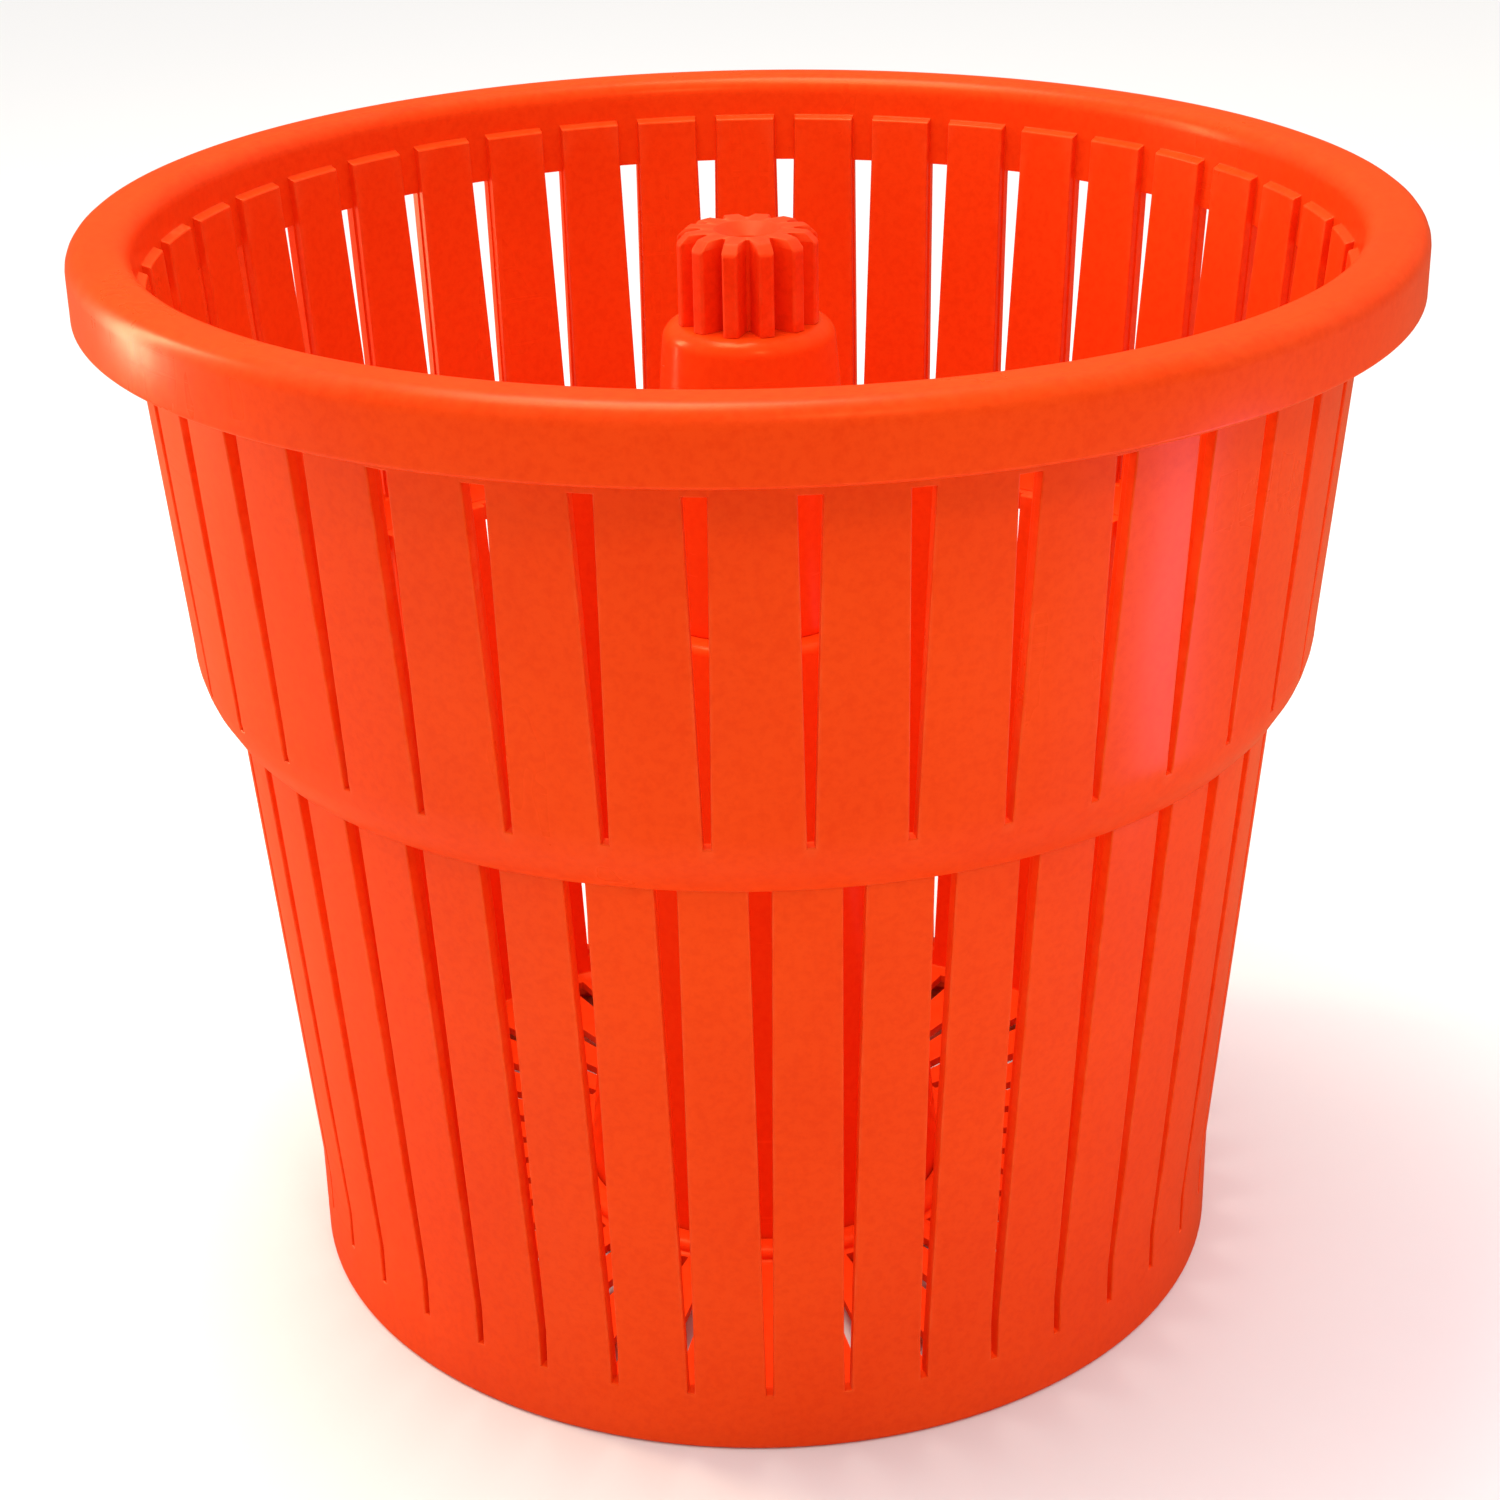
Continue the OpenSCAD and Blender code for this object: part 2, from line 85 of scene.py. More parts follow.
class BasketSizes(bpy.types.PropertyGroup):
    """Sizes of the mouldings. Those that the frame measures take their default from it."""

    rim_radius: length("Rim radius", "Outer radius of the rim", reach("upper_basket"))
    height: length("Height", "Height of the rim's top", top("upper_basket"))
    rim_overhang: length("Rim overhang", "Rim outside the wall", 14.5 * MM)
    rim_height: length("Rim height", "Height of the rim's skirt and top", 20 * MM)
    rim_round: length("Rim rounding", "Radius of the rim's top edges", 6 * MM)
    draft: FloatProperty(name="Draft", description="Slope of the walls from the vertical",
                         default=math.radians(4.6), subtype="ANGLE")
    wall: length("Wall", "Thickness of the walls", 3 * MM)
    stave: length("Stave", "How far the staves stand proud inside", 2.5 * MM)
    step: length("Step", "How far the upper wall stands outside the lower one", 9 * MM)
    step_height: length("Shoulder", "Height of the shoulder's underside", low("upper_basket"))
    shoulder_round: length("Shoulder rounding", "Radius of the shoulder", 31 * MM)
    shoulder_rise: length("Shoulder rise", "Height of the rounded shoulder", 22.5 * MM)
    lip: length("Lip", "Thickness of the lip inside the shoulder", 4 * MM)
    ledge_height: length("Ledge", "Height of the inner ledge", top("lower_basket"))
    flange_radius: length("Flange radius", "Radius of the ledge's hidden flange", 157.4 * MM)
    band: length("Band", "Smooth band above the staves", 12.5 * MM)
    slots: IntProperty(name="Slots", description="Slots around each wall", default=40, min=8)
    slot_top: length("Slot top", "Width of a wall slot at its top", 6 * MM)
    slot_foot: length("Slot foot", "Width of a wall slot at its foot", 2 * MM)
    foot_top: length("Foot band top", "Height where the lower wall starts to lean", 32 * MM)
    foot_height: length("Foot height", "Solid band below the lower slots", 18.5 * MM)
    floor_radius: length("Floor radius", "Outer radius of the floor", reach("floor_grid"))
    floor_low: length("Floor underside", "Height of the floor's lower face", low("floor_grid"))
    floor_thickness: length("Floor thickness", "Thickness of the floor", 3 * MM)
    collar_width: length("Collar width", "Raised collar around the hub", 7.5 * MM)
    floor_bore: length("Floor bore", "Radius of the hole for the hub", 57.6 * MM)
    hub_radius: length("Hub radius", "Radius of the hub at the floor", 57 * MM)
    hub_flange: length("Hub flange", "Radius of the hub's flange", reach("hub_base"))
    hub_step_height: length("Hub step", "Height of the step in the hub", top("hub_base"))
    hub_step_radius: length("Hub step radius", "Radius at that step", 38 * MM)
    hub_wall: length("Hub wall", "Thickness of the hub's wall", 3 * MM)
    sleeve_top: length("Hub top", "Height of the hub's top face", top("hub_sleeve"))
    sleeve_radius: length("Hub top radius", "Radius below its rounded top", 24.8 * MM)
    sleeve_round: length("Hub rounding", "Radius of the hub's top edge", 5.5 * MM)
    pinion_radius: length("Pinion radius", "Radius over the teeth", reach("drive_pinion"))
    pinion_top: length("Pinion top", "Height of the pinion's top", top("drive_pinion"))
    pinion_foot: length("Shank foot", "Height of the shank's lower end", low("drive_pinion"))
    teeth: IntProperty(name="Teeth", description="Teeth of the pinion", default=12, min=6)


def colour(name, description, default):
    """A colour that a user can change, in linear light."""
    return FloatVectorProperty(name=name, description=description, default=default,
                               subtype="COLOR", size=3, min=0.0, max=1.0)


class BasketFinish(bpy.types.PropertyGroup):
    """Colours of the mouldings and of the stage."""

    basket: colour("Basket", "Orange of the walls", (0.92, 0.062, 0.005))
    deep: colour("Deep", "Darker orange of the mottling", (0.80, 0.032, 0.0015))
    worn: colour("Worn", "Pale orange of rubbed edges", (0.98, 0.17, 0.045))
    pinion: colour("Pinion", "Redder orange of the matte pinion", (0.94, 0.046, 0.004))
    acetal: colour("Acetal", "Natural plastic of the bush and pad", (0.82, 0.78, 0.66))
    floor: colour("Stage", "Pale floor of the stage", (0.90, 0.89, 0.88))


# ---------------------------------------------------------------- surfaces


def fillet(points, radii, steps=5):
    """Rounds the corners of a closed outline. At each corner the arc runs between the points where
    a circle of its radius touches both sides, as a rational quadratic curve whose middle weight is
    the sine of half the corner's angle."""
    p = np.asarray(points, float)
    radii = np.broadcast_to(np.asarray(radii, float), len(p))
    back, ahead = np.roll(p, 1, 0) - p, np.roll(p, -1, 0) - p
    back /= np.linalg.norm(back, axis=1)[:, None]
    ahead /= np.linalg.norm(ahead, axis=1)[:, None]
    half = np.arccos(np.clip((back * ahead).sum(1), -1, 1)) / 2
    cut = (radii / np.tan(half))[:, None]
    a, b = p + back * cut, p + ahead * cut
    u = np.linspace(0, 1, steps)[None, :, None]
    weight = np.sin(half)[:, None, None]
    terms = (1 - u) ** 2, 2 * u * (1 - u) * weight, u ** 2
    arc = terms[0] * a[:, None] + terms[1] * p[:, None] + terms[2] * b[:, None]
    return (arc / sum(terms)).reshape(-1, 2)


def torus_faces(rows, columns):
    """Quads of a grid that closes both ways: a section's rows carried round a circle of columns.
    Rows run up the outside of the section and columns anticlockwise, so normals point out."""
    i, j = np.meshgrid(np.arange(rows), np.arange(columns), indexing="ij")
    i2, j2 = (i + 1) % rows, (j + 1) % columns
    return np.stack([i * columns + j, i * columns + j2, i2 * columns + j2, i2 * columns + j], -1)


def polar(radius, angle, height):
    """Points at a distance and an angle round the spin axis; angle 0 faces -Y."""
    radius, angle, height = np.broadcast_arrays(radius, angle, height)
    return np.stack([radius * np.sin(angle), -radius * np.cos(angle), height], -1).reshape(-1, 3)


def add_piece(name, points, faces, rounding=None):
    """Makes a mesh object from points and quads, welds the points that coincide and, where rounding
    gives a radius for each point, rounds the sharp edges by the smaller radius of their ends."""
    mesh = bpy.data.meshes.new(name)
    mesh.from_pydata(points.tolist(), [], faces.reshape(-1, 4).tolist())
    if rounding is not None:
        mesh.attributes.new("rounding", "FLOAT", "POINT")
        mesh.attributes["rounding"].data.foreach_set("value", rounding.astype(np.float32).ravel())
    work = bmesh.new()
    work.from_mesh(mesh)
    bmesh.ops.remove_doubles(work, verts=work.verts, dist=2e-6)
    bmesh.ops.dissolve_degenerate(work, edges=work.edges, dist=1e-6)
    work.to_mesh(mesh)
    work.free()
    mesh.polygons.foreach_set("use_smooth", np.ones(len(mesh.polygons), bool))
    piece = bpy.data.objects.new(name, mesh)
    bpy.context.scene.collection.objects.link(piece)
    if rounding is not None:
        round_edges(piece)
    return piece


def round_edges(piece, sharp_angle=math.radians(25)):
    """A bevel whose width at each sharp edge is the smaller of its two points' radii."""
    mesh = piece.data
    mesh.set_sharp_from_angle(angle=sharp_angle)
    sharp = np.zeros(len(mesh.edges), bool)
    mesh.attributes["sharp_edge"].data.foreach_get("value", sharp)
    radius = np.zeros(len(mesh.vertices), np.float32)
    mesh.attributes["rounding"].data.foreach_get("value", radius)
    ends = np.zeros(2 * len(mesh.edges), np.int32)
    mesh.edges.foreach_get("vertices", ends)
    widest = float(radius.max())
    weight = np.minimum(radius[ends[0::2]], radius[ends[1::2]]) / widest * sharp
    mesh.attributes.new("bevel_weight_edge", "FLOAT", "EDGE")
    mesh.attributes["bevel_weight_edge"].data.foreach_set("value", weight.astype(np.float32))
    mesh.attributes.remove(mesh.attributes["sharp_edge"])
    bevel = piece.modifiers.new("edge rounding", "BEVEL")
    bevel.limit_method = "WEIGHT"
    bevel.width = widest
    bevel.segments = 2
    bevel.use_clamp_overlap = False
    bevel.harden_normals = True


def revolve(name, outline, segments=160):
    """Carries a closed outline of (radius, height) round the spin axis."""
    angle = np.arange(segments) * 2 * math.pi / segments
    points = polar(outline[:, :1], angle[None, :], outline[:, 1:])
    return add_piece(name, points, torus_faces(len(outline), segments))


def slotted_ring(name, rows, outside, inside, count, turn, spread=6):
    """A ring with slots cut through it, made as one section carried round the axis.

    rows is a structured array with one entry per point of the section: the radius on a stave and in
    the groove beside it, the height, the width of the slot there, how far the groove is wider on
    each side, and the rounding. In each pitch the columns are the slot's two edges, the groove's
    edge at both depths, the stave, and the next groove's edge at both depths. A column at distance
    y from the slot's middle plane is turned by asin(y / radius), so slots keep parallel sides.
    outside and inside are the ranges of rows that a slot passes through, in opposite order: the
    cells between a slot's edges are left out there, and its walls join the two rows of edges."""
    pitch = 2 * math.pi / count
    share = np.linspace(0, 1, spread + 1)[1:-1]
    kinds = 6 + len(share)
    half = rows["width"][:, None] / 2
    wide = half + rows["margin"][:, None]
    stave, groove = rows["stave"][:, None], rows["groove"][:, None]
    left, right = np.arcsin(wide / stave), pitch - np.arcsin(wide / stave)
    edge = np.arcsin(half / groove)
    corner = np.arcsin(wide / groove)
    angle = np.hstack([-edge, edge, corner, left, left + (right - left) * share, right,
                       pitch - corner])
    radius = np.hstack([groove] * 3 + [stave] * (kinds - 4) + [groove])
    turns = (np.arange(count) + turn)[None, :, None] * pitch
    whole = (angle[:, None, :] + turns).reshape(len(rows), -1)
    points = polar(np.tile(radius, (1, count)), whole, rows["height"][:, None])

    columns = count * kinds
    faces = torus_faces(len(rows), columns)
    keep = np.ones(faces.shape[:2], bool)
    for low_row, high_row in (outside, inside):
        keep[low_row:high_row, 0::kinds] = False
    out = np.arange(outside[0], outside[1] + 1)
    inn = np.arange(inside[1], inside[0] - 1, -1)
    first = np.arange(count) * kinds
    o = out[:, None] * columns + first
    n = inn[:, None] * columns + first
    walls = [np.stack([o[:-1], n[:-1], n[1:], o[1:]], -1),
             np.stack([o[:-1] + 1, o[1:] + 1, n[1:] + 1, n[:-1] + 1], -1),
             np.stack([o[:1], o[:1] + 1, n[:1] + 1, n[:1]], -1),
             np.stack([o[-1:], n[-1:], n[-1:] + 1, o[-1:] + 1], -1)]
    faces = np.vstack([faces[keep]] + [w.reshape(-1, 4) for w in walls])

    rounding = np.tile(rows["round"][:, None], (1, kinds))
    fine = 0.15 * MM
    rounding[outside[0]:outside[1] + 1, :2] = 0.5 * MM
    rounding[inside[0]:inside[1] + 1, :2] = fine
    grooved = rows["groove"] - rows["stave"] > fine
    rounding[grooved, 2] = rounding[grooved, -1] = fine
    rounding[grooved, 3] = rounding[grooved, -2] = 0.5 * MM
    return add_piece(name, points, faces, np.tile(rounding, (1, count)))


ROW = [("stave", float), ("groove", float), ("height", float), ("width", float),
       ("margin", float), ("round", float)]


def section(stave, height, groove=None, margin=1.5 * MM, rounding=0.0):
    """Rows of a ring's section. The slot's width is filled in later."""
    stave = np.atleast_1d(np.asarray(stave, float))
    rows = np.zeros(len(stave), ROW)
    rows["stave"] = stave
    rows["groove"] = stave if groove is None else groove
    rows["height"] = height
    rows["margin"] = margin
    rows["round"] = rounding
    return rows


def slot_widths(rows, foot, head, s):
    """The slots widen evenly from their foot to their head."""
    share = np.clip((rows["height"] - foot) / (head - foot), 0, 1)
    rows["width"] = s.slot_foot + (s.slot_top - s.slot_foot) * share


def wall_radius(s, z):
    """Outer radius of the upper wall: it leans out from the foot by the draft."""
    return s.rim_radius - s.rim_overhang - (s.height - z) * math.tan(s.draft)


def shoulder_radius(s, z, inset):
    """Radius of the upper wall at a height, set in by an amount: a straight line above the
    shoulder, and below it a circle that the line touches."""
    z = np.asarray(z, float)
    start = s.step_height + s.shoulder_rise
    centre = wall_radius(s, start) - s.shoulder_round
    drop = np.clip(start - z, 0, s.shoulder_round * 0.9)
    arc = centre + np.sqrt(np.maximum((s.shoulder_round - inset) ** 2 - drop ** 2, 0))
    return np.where(z < start, arc, wall_radius(s, z) - inset)


def build_upper(s):
    """The upper wall with its rounded shoulder, its staves and the rim."""
    fit, fine = 0.1 * MM, 0.3 * MM
    proud = s.wall + s.stave
    start = s.step_height + s.shoulder_rise
    lip_top = s.step_height + s.lip
    stave_top = s.height - s.band
    foot, head = s.step_height + 16.5 * MM, stave_top - 15 * MM
    through = np.concatenate([[foot, (foot + start) / 2], np.linspace(start, head, 5)])
    outer = np.concatenate([[s.step_height, lip_top, lip_top + 6 * MM, foot - 4 * MM], through,
                            [s.height - s.rim_height, s.height - s.rim_height + 9 * MM,
                             s.height - s.wall]])
    rows = [section(shoulder_radius(s, outer, 0), outer)]
    rows[0]["round"][[0, -1]] = [0.5 * MM, 1.0 * MM]

    skirt_foot = s.height - s.rim_height
    ceiling = s.height - s.wall
    inner_skirt = s.rim_radius - s.wall
    band_start = s.height - s.rim_round
    rim_in = wall_radius(s, band_start) - s.wall
    rim = fillet([[inner_skirt, ceiling], [inner_skirt, skirt_foot], [s.rim_radius, skirt_foot],
                  [s.rim_radius, s.height], [rim_in, s.height], [rim_in, band_start - s.wall]],
                 [2 * MM, 0.9 * MM, 1.3 * MM, s.rim_round, s.rim_round, 0], 7)
    rim = rim[:-7]
    rows.append(section(rim[:, 0], rim[:, 1]))

    below_band = np.array([(band_start + stave_top) / 2, stave_top])
    band = shoulder_radius(s, below_band, s.wall)
    rows.append(section(band, below_band, margin=0.5 * MM, rounding=fine))
    deep = np.concatenate([[stave_top - 1 * MM], through[::-1], [foot - 1 * MM]])
    rows.append(section(shoulder_radius(s, deep, proud), deep,
                        shoulder_radius(s, deep, s.wall), 0.5 * MM, fine))
    rows[-1]["round"][0] = 0.5 * MM
    below = np.array([foot - 1 * MM, (foot + s.ledge_height) / 2, s.ledge_height])
    rows.append(section(shoulder_radius(s, below, proud), below, margin=0.5 * MM, rounding=fine))
    lip_in = wall_radius(s, lip_top) - s.step + fit
    seat = s.flange_radius + fit
    rows.append(section([seat, seat, lip_in, lip_in],
                        [s.ledge_height, lip_top, lip_top, s.step_height], rounding=fine))
    rows = np.concatenate(rows)
    slot_widths(rows, foot, head, s)
    first = 4
    last = first + len(through) - 1
    back = len(outer) + len(rim) + len(below_band) + 1
    return slotted_ring("upper_wall", rows, (first, last), (back, back + last - first),
                        s.slots, 0.5)


def build_lower(s):
    """The lower wall with its foot band, its staves and the ledge that its flange makes."""
    fine = 0.3 * MM
    proud = s.wall + s.stave
    lip_top = s.step_height + s.lip
    foot, head = s.foot_height + 0.5 * MM, s.step_height + 1 * MM

    def radius(z):
        return wall_radius(s, z) - s.step

    floor_top = s.floor_low + s.floor_thickness
    foot_out = radius(s.foot_top)
    foot_in = foot_out - proud
    seat_in = s.floor_radius - 4 * MM
    through = np.concatenate([[foot], np.linspace(s.foot_top, head, 6)])
    edge = fillet([[foot_in, 0], [foot_out, 0], [foot_out, foot - 2 * MM]],
                  [0.5 * MM, 1.8 * MM, 0], 6)[:13]
    rows = [section(edge[:, 0], edge[:, 1], rounding=0)]
    rows.append(section(radius(np.maximum(through, s.foot_top)), through))
    rows.append(section([radius(lip_top), s.flange_radius, s.flange_radius],
                        [lip_top, lip_top, s.ledge_height], rounding=fine))
    deep = np.concatenate([[s.ledge_height], through[::-1], [foot - 1.5 * MM]])
    rows.append(section(radius(deep) - proud, deep, radius(deep) - s.wall, 0.5 * MM, fine))
    rows[-1]["round"][0] = 0.6 * MM
    rest = [[radius(foot - 1.5 * MM) - proud, foot - 1.5 * MM],
            [radius(floor_top) - proud, floor_top], [s.floor_radius, floor_top],
            [s.floor_radius, s.floor_low], [seat_in, s.floor_low],
            [seat_in, s.floor_low - 3 * MM], [foot_in, s.floor_low - 3 * MM]]
    rest = np.array(rest)
    rows.append(section(rest[:, 0], rest[:, 1], margin=0.5 * MM, rounding=fine))
    rows[-1]["round"][2:4] = 0
    rows = np.concatenate(rows)
    slot_widths(rows, foot, head, s)
    first = len(edge)
    last = first + len(through) - 1
    back = last + 1 + 3 + 1
    return slotted_ring("lower_wall", rows, (first, last), (back, back + last - first),
                        s.slots, 0.0)


def build_floor(s):
    """The slotted floor: a flat ring with a raised collar, whose slots widen with the radius."""
    fine = 0.3 * MM
    low_z, high_z = s.floor_low, s.floor_low + s.floor_thickness
    collar = s.floor_bore + s.collar_width
    ends = s.hub_radius + 10.5 * MM, s.floor_radius - 5.5 * MM
    through = np.linspace(*ends, 6)
    rows = [section([s.floor_bore], low_z, rounding=fine),
            section(through, low_z),
            section([s.floor_radius], low_z, rounding=fine),
            section([s.floor_radius], high_z, rounding=fine),
            section(through[::-1], high_z)]
    ring = fillet([[collar, high_z], [collar, high_z + 3 * MM], [s.floor_bore, high_z + 3 * MM],
                   [s.floor_bore, low_z]], [0, 2.8 * MM, 1.0 * MM, 0], 6)[5:18]
    rows.append(section(ring[:, 0], ring[:, 1]))
    rows = np.concatenate(rows)
    rows["width"] = 0.045 * rows["stave"]
    last = len(through)
    return slotted_ring("floor_grating", rows, (1, last), (last + 3, 2 * last + 2),
                        s.slots, 0.5)


def build_hub_base(s):
    """The lower hub part: a cone on a flange, closed by a step with a hole for the sleeve."""
    foot = s.floor_low - 3 * MM
    slope = (s.hub_radius - s.hub_step_radius) / (s.hub_step_height - s.floor_low - 3 * MM)

    def radius(z):
        return s.hub_radius - (z - s.floor_low - 3 * MM) * slope

    head, under, bore = s.hub_step_height, s.hub_step_height - 6 * MM, 24 * MM
    outline = [[radius(foot) - s.hub_wall, foot], [s.hub_flange, foot],
               [s.hub_flange, s.floor_low], [radius(s.floor_low), s.floor_low],
               [radius(head - 3 * MM), head], [bore, head], [bore, under],
               [radius(under) - s.hub_wall, under]]
    rounds = np.array([0.4, 0.6, 0.6, 0.4, 3.0, 0.4, 0.4, 1.5]) * MM
    return revolve("hub_cone", fillet(outline, rounds, 6))


def build_hub_sleeve(s):
    """The upper hub part: a slim tapered sleeve with a rounded top, held in the step by a spigot."""
    slope = math.tan(math.radians(4.8))
    foot, ceiling = s.hub_step_height, s.sleeve_top - 6 * MM
    spigot, bore, hole = 23.9 * MM, 21 * MM, 12.8 * MM

    def radius(z):
        return s.sleeve_radius + (s.sleeve_top - s.sleeve_round - z) * slope

    ring = foot + 10 * MM
    outline = [[bore, foot - 4 * MM], [spigot, foot - 4 * MM], [spigot, foot],
               [radius(foot), foot], [s.sleeve_radius, s.sleeve_top], [hole, s.sleeve_top],
               [hole, ceiling], [radius(ceiling) - s.hub_wall, ceiling],
               [radius(ring) - s.hub_wall, ring], [bore, ring]]
    rounds = np.array([0.4, 0.4, 0.2, 0.5, 0.0, 0.2, 0.2, 1.0, 1.0, 0.4]) * MM
    rounds[4] = s.sleeve_round
    return revolve("hub_sleeve_moulding", fillet(outline, rounds, 9))


def build_pinion(s):
    """The drive pinion. Round the axis its outline is a row of straight-sided teeth with rounded
    corners, and up the axis the outline is cut by a bevelled crown: the radius is the smaller of
    the two. The hole, the bush's seat and the hexagonal shank are rows of the same grid."""
    depth, root_w, tip_w = 7.5 * MM, 5.8 * MM, 4.4 * MM
    root = s.pinion_radius - depth
    pitch = 2 * math.pi / s.teeth
    side = np.array([[root, -root_w / 2], [s.pinion_radius, -tip_w / 2],
                     [s.pinion_radius, tip_w / 2], [root, root_w / 2]])
    middle = (np.arange(s.teeth) + 0.5)[:, None] * pitch
    r, a = np.hypot(side[:, 0], side[:, 1]), np.arctan2(side[:, 1], side[:, 0])
    corners = np.stack([r * np.cos(middle + a), r * np.sin(middle + a)], -1).reshape(-1, 2)
    rounds = np.tile([0.35 * MM, 1.1 * MM, 1.1 * MM, 0.35 * MM], s.teeth)
    line = fillet(corners, rounds, 6)
    angle, tooth = np.arctan2(line[:, 1], line[:, 0]), np.hypot(line[:, 0], line[:, 1])

    base, head = s.sleeve_top, s.pinion_top
    hole, dish, seat = 4.75 * MM, 9.5 * MM, 7 * MM
    seat_top = base + 13 * MM
    bevel = 3 * MM
    crown = fillet([[s.pinion_radius + 1 * MM, base], [s.pinion_radius + 0.1 * MM, head - bevel],
                    [s.pinion_radius - bevel, head], [dish, head], [hole, head - 3.5 * MM],
                    [hole, seat_top], [seat, seat_top], [seat, s.pinion_foot]],
                   np.array([0, 2.4, 1.8, 1.2, 0.8, 0.2, 0.2, 0]) * MM, 6)[6:]
    shank = 11 * MM
    flat = shank / np.cos((angle + math.pi / 6) % (math.pi / 3) - math.pi / 6)
    toothed = np.minimum(tooth[None, :], crown[:, :1])
    below = np.stack([flat, flat, tooth, tooth])
    heights = [s.pinion_foot, base, base, (base + head - bevel) / 2]
    radius = np.vstack([below, toothed])
    height = np.concatenate([heights, crown[:, 1]])[:, None]
    rounding = np.zeros(radius.shape)
    rounding[:3] = 0.25 * MM
    points = polar(radius, angle[None, :], height)
    return add_piece("pinion_moulding", points, torus_faces(*radius.shape), rounding)


# ---------------------------------------------------------------- materials


def new_group(name, inputs, outputs):
    """An empty shader node group with named sockets."""
    tree = bpy.data.node_groups.new(name, "ShaderNodeTree")
    kinds = {"value": "NodeSocketFloat", "colour": "NodeSocketColor"}
    for label, kind in inputs:
        tree.interface.new_socket(label, in_out="INPUT", socket_type=kinds[kind])
    for label, kind in outputs:
        tree.interface.new_socket(label, in_out="OUTPUT", socket_type=kinds[kind])
    return tree, tree.nodes.new("NodeGroupInput"), tree.nodes.new("NodeGroupOutput")


def noise(tree, vector, scale, detail=2.0, roughness=0.5):
    """A noise texture on a vector."""
    node = tree.nodes.new("ShaderNodeTexNoise")
    node.inputs["Detail"].default_value = detail
    node.inputs["Roughness"].default_value = roughness
    if isinstance(scale, (int, float)):
        node.inputs["Scale"].default_value = scale
    else:
        tree.links.new(scale, node.inputs["Scale"])
    tree.links.new(vector, node.inputs["Vector"])
    return node.outputs["Fac"]


def ramp(tree, value, start, end, low_value=0.0, high_value=1.0):
    """Maps a value from one range to another and clamps it."""
    node = tree.nodes.new("ShaderNodeMapRange")
    settings = start, end, low_value, high_value
    for socket, setting in zip(("From Min", "From Max", "To Min", "To Max"), settings):
        node.inputs[socket].default_value = setting
    tree.links.new(value, node.inputs["Value"])
    return node.outputs["Result"]


def maths(tree, operation, *values):
    """One math node on sockets or numbers."""
    node = tree.nodes.new("ShaderNodeMath")
    node.operation = operation
    for socket, value in zip(node.inputs, values):
        if isinstance(value, (int, float)):
            socket.default_value = value
        else:
            tree.links.new(value, socket)
    return node.outputs[0]


def blend_colours(tree, factor, a, b):
    """Mixes two colour sockets."""
    node = tree.nodes.new("ShaderNodeMix")
    node.data_type = "RGBA"
    tree.links.new(factor, node.inputs[0])
    tree.links.new(a, node.inputs[6])
    tree.links.new(b, node.inputs[7])
    return node.outputs[2]


def constant(tree, colour):
    """A colour as a socket, for a Mix node's input."""
    node = tree.nodes.new("ShaderNodeRGB")
    node.outputs[0].default_value = (*colour, 1)
    return node.outputs[0]


def stretched(tree, vector, scale):
    """A vector scaled by a different amount along each axis."""
    node = tree.nodes.new("ShaderNodeMapping")
    node.inputs["Scale"].default_value = scale
    tree.links.new(vector, node.inputs["Vector"])
    return node.outputs["Vector"]


def moulding_group():
    """Injection-moulded plastic: broad flow variation, fine mottling, rubbed edges, faint rings of
    scuffs from washing, and a fine grain in the surface."""
    tree, given, out = new_group(
        "moulded plastic",
        [("Colour", "colour"), ("Deep", "colour"), ("Worn", "colour"), ("Gloss", "value"),
         ("Mottle", "value"), ("Wear", "value")],
        [("Colour", "colour"), ("Roughness", "value"), ("Height", "value")])
    place = tree.nodes.new("ShaderNodeTexCoord").outputs["Object"]
    broad = ramp(tree, noise(tree, place, 14, 3), 0.35, 0.7)
    speckle = ramp(tree, noise(tree, place, 420, 3, 0.6), 0.42, 0.66)
    grain = noise(tree, place, 1500, 2, 0.6)
    flow = ramp(tree, noise(tree, stretched(tree, place, (60, 60, 5)), 1, 3), 0.45, 0.75)
    scuff = ramp(tree, noise(tree, stretched(tree, place, (8, 8, 260)), 1, 4, 0.7), 0.58, 0.72)
    pointy = tree.nodes.new("ShaderNodeNewGeometry").outputs["Pointiness"]
    edge = ramp(tree, pointy, 0.515, 0.60)
    patchy = ramp(tree, noise(tree, place, 90, 4, 0.65), 0.38, 0.62)
    mottled = maths(tree, "MULTIPLY", maths(tree, "ADD", speckle, broad), given.outputs["Mottle"])
    rubbed = maths(tree, "MULTIPLY", maths(tree, "MULTIPLY", edge, patchy), given.outputs["Wear"])
    hue = blend_colours(tree, mottled, given.outputs["Colour"], given.outputs["Deep"])
    hue = blend_colours(tree, rubbed, hue, given.outputs["Worn"])
    tree.links.new(hue, out.inputs["Colour"])
    rough = maths(tree, "ADD", given.outputs["Gloss"], maths(tree, "MULTIPLY", broad, 0.05))
    rough = maths(tree, "ADD", rough, maths(tree, "MULTIPLY", flow, 0.05))
    rough = maths(tree, "ADD", rough, maths(tree, "MULTIPLY", scuff, 0.05))
    rough = maths(tree, "ADD", rough, maths(tree, "MULTIPLY", rubbed, 0.2))
    tree.links.new(rough, out.inputs["Roughness"])
    relief = maths(tree, "ADD", maths(tree, "MULTIPLY", grain, 0.5),
                   maths(tree, "MULTIPLY", noise(tree, place, 260, 2), 0.5))
    tree.links.new(relief, out.inputs["Height"])
    return tree


